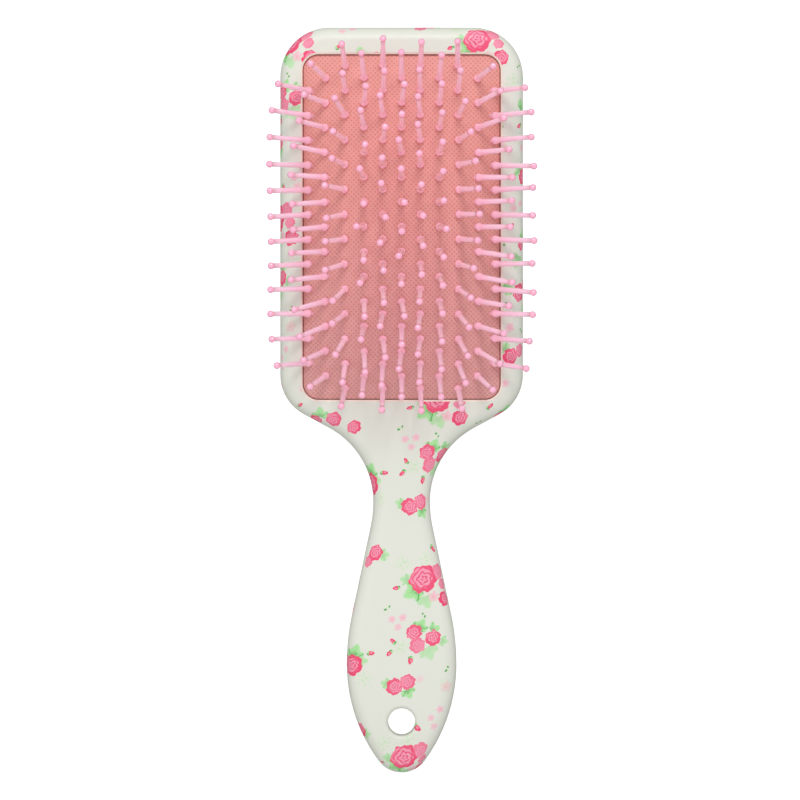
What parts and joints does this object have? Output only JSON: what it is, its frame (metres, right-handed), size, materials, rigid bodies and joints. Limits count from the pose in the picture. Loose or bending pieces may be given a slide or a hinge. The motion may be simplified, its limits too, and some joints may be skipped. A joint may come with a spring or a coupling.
{
  "type": "vanity hairbrush",
  "caption": "Cushioned paddle hairbrush: a flat rounded head with a domed rubber pad of ball-tipped pins, and a waisted handle with a hanging hole.",
  "frame": {"origin": "on the flat back, on the centre line at half the brush's length", "axes": "+Z out through the pins, +Y towards the head's end, handle towards -Y, X across"},
  "size_m": [0.0905, 0.25, 0.0385],
  "materials": {
    "printed_plastic": "ivory moulded plastic with a floral film print under clear lacquer",
    "cushion_rubber": "salmon rubber with a fine dimpled skin",
    "pin_nylon": "pink slightly translucent nylon"
  },
  "bodies": {
    "paddle": {"paddle_body": "printed_plastic"},
    "cushion": {"cushion": "cushion_rubber"},
    "pins_left_5": {"pins_left_5_lower": "pin_nylon", "pins_left_5_middle": "pin_nylon", "pins_left_5_upper": "pin_nylon"},
    "pins_left_4": {"pins_left_4_lower": "pin_nylon", "pins_left_4_middle": "pin_nylon", "pins_left_4_upper": "pin_nylon"},
    "pins_left_3": {"pins_left_3_lower": "pin_nylon", "pins_left_3_middle": "pin_nylon", "pins_left_3_upper": "pin_nylon"},
    "pins_left_2": {"pins_left_2_lower": "pin_nylon", "pins_left_2_middle": "pin_nylon", "pins_left_2_upper": "pin_nylon"},
    "pins_left_1": {"pins_left_1_lower": "pin_nylon", "pins_left_1_middle": "pin_nylon", "pins_left_1_upper": "pin_nylon"},
    "pins_centre": {"pins_centre_lower": "pin_nylon", "pins_centre_middle": "pin_nylon", "pins_centre_upper": "pin_nylon"},
    "pins_right_1": {"pins_right_1_lower": "pin_nylon", "pins_right_1_middle": "pin_nylon", "pins_right_1_upper": "pin_nylon"},
    "pins_right_2": {"pins_right_2_lower": "pin_nylon", "pins_right_2_middle": "pin_nylon", "pins_right_2_upper": "pin_nylon"},
    "pins_right_3": {"pins_right_3_lower": "pin_nylon", "pins_right_3_middle": "pin_nylon", "pins_right_3_upper": "pin_nylon"},
    "pins_right_4": {"pins_right_4_lower": "pin_nylon", "pins_right_4_middle": "pin_nylon", "pins_right_4_upper": "pin_nylon"},
    "pins_right_5": {"pins_right_5_lower": "pin_nylon", "pins_right_5_middle": "pin_nylon", "pins_right_5_upper": "pin_nylon"}
  },
  "joints": [
    {"name": "cushion_press", "type": "slide", "parent": "paddle", "child": "cushion", "axis": [0, 0, -1], "range_m": [0, 0.0025], "stiffness_N_per_m": 2000, "springref_m": -0.0005, "deforming": ["cushion"]},
    {"name": "pins_left_5_rock", "type": "hinge", "parent": "paddle", "child": "pins_left_5", "pos_m": [-0.02997, 0.058, 0.01116], "axis": [0, 1, 0], "range_deg": [-8, 8], "stiffness_Nm_per_rad": 0.2},
    {"name": "pins_left_4_rock", "type": "hinge", "parent": "cushion", "child": "pins_left_4", "pos_m": [-0.02473, 0.058, 0.01316], "axis": [0, 1, 0], "range_deg": [-8, 8], "stiffness_Nm_per_rad": 0.2},
    {"name": "pins_left_3_rock", "type": "hinge", "parent": "cushion", "child": "pins_left_3", "pos_m": [-0.01868, 0.058, 0.01427], "axis": [0, 1, 0], "range_deg": [-8, 8], "stiffness_Nm_per_rad": 0.2},
    {"name": "pins_left_2_rock", "type": "hinge", "parent": "cushion", "child": "pins_left_2", "pos_m": [-0.01254, 0.058, 0.0153], "axis": [0, 1, 0], "range_deg": [-8, 8], "stiffness_Nm_per_rad": 0.2},
    {"name": "pins_left_1_rock", "type": "hinge", "parent": "cushion", "child": "pins_left_1", "pos_m": [-0.00628, 0.058, 0.01517], "axis": [0, 1, 0], "range_deg": [-8, 8], "stiffness_Nm_per_rad": 0.2},
    {"name": "pins_centre_rock", "type": "hinge", "parent": "cushion", "child": "pins_centre", "pos_m": [0, 0.058, 0.01557], "axis": [0, 1, 0], "range_deg": [-8, 8], "stiffness_Nm_per_rad": 0.2},
    {"name": "pins_right_1_rock", "type": "hinge", "parent": "cushion", "child": "pins_right_1", "pos_m": [0.00629, 0.058, 0.01517], "axis": [0, 1, 0], "range_deg": [-8, 8], "stiffness_Nm_per_rad": 0.2},
    {"name": "pins_right_2_rock", "type": "hinge", "parent": "cushion", "child": "pins_right_2", "pos_m": [0.01251, 0.058, 0.0153], "axis": [0, 1, 0], "range_deg": [-8, 8], "stiffness_Nm_per_rad": 0.2},
    {"name": "pins_right_3_rock", "type": "hinge", "parent": "cushion", "child": "pins_right_3", "pos_m": [0.01868, 0.058, 0.01427], "axis": [0, 1, 0], "range_deg": [-8, 8], "stiffness_Nm_per_rad": 0.2},
    {"name": "pins_right_4_rock", "type": "hinge", "parent": "cushion", "child": "pins_right_4", "pos_m": [0.02472, 0.058, 0.01316], "axis": [0, 1, 0], "range_deg": [-8, 8], "stiffness_Nm_per_rad": 0.2},
    {"name": "pins_right_5_rock", "type": "hinge", "parent": "paddle", "child": "pins_right_5", "pos_m": [0.02997, 0.058, 0.01116], "axis": [0, 1, 0], "range_deg": [-8, 8], "stiffness_Nm_per_rad": 0.2}
  ]
}
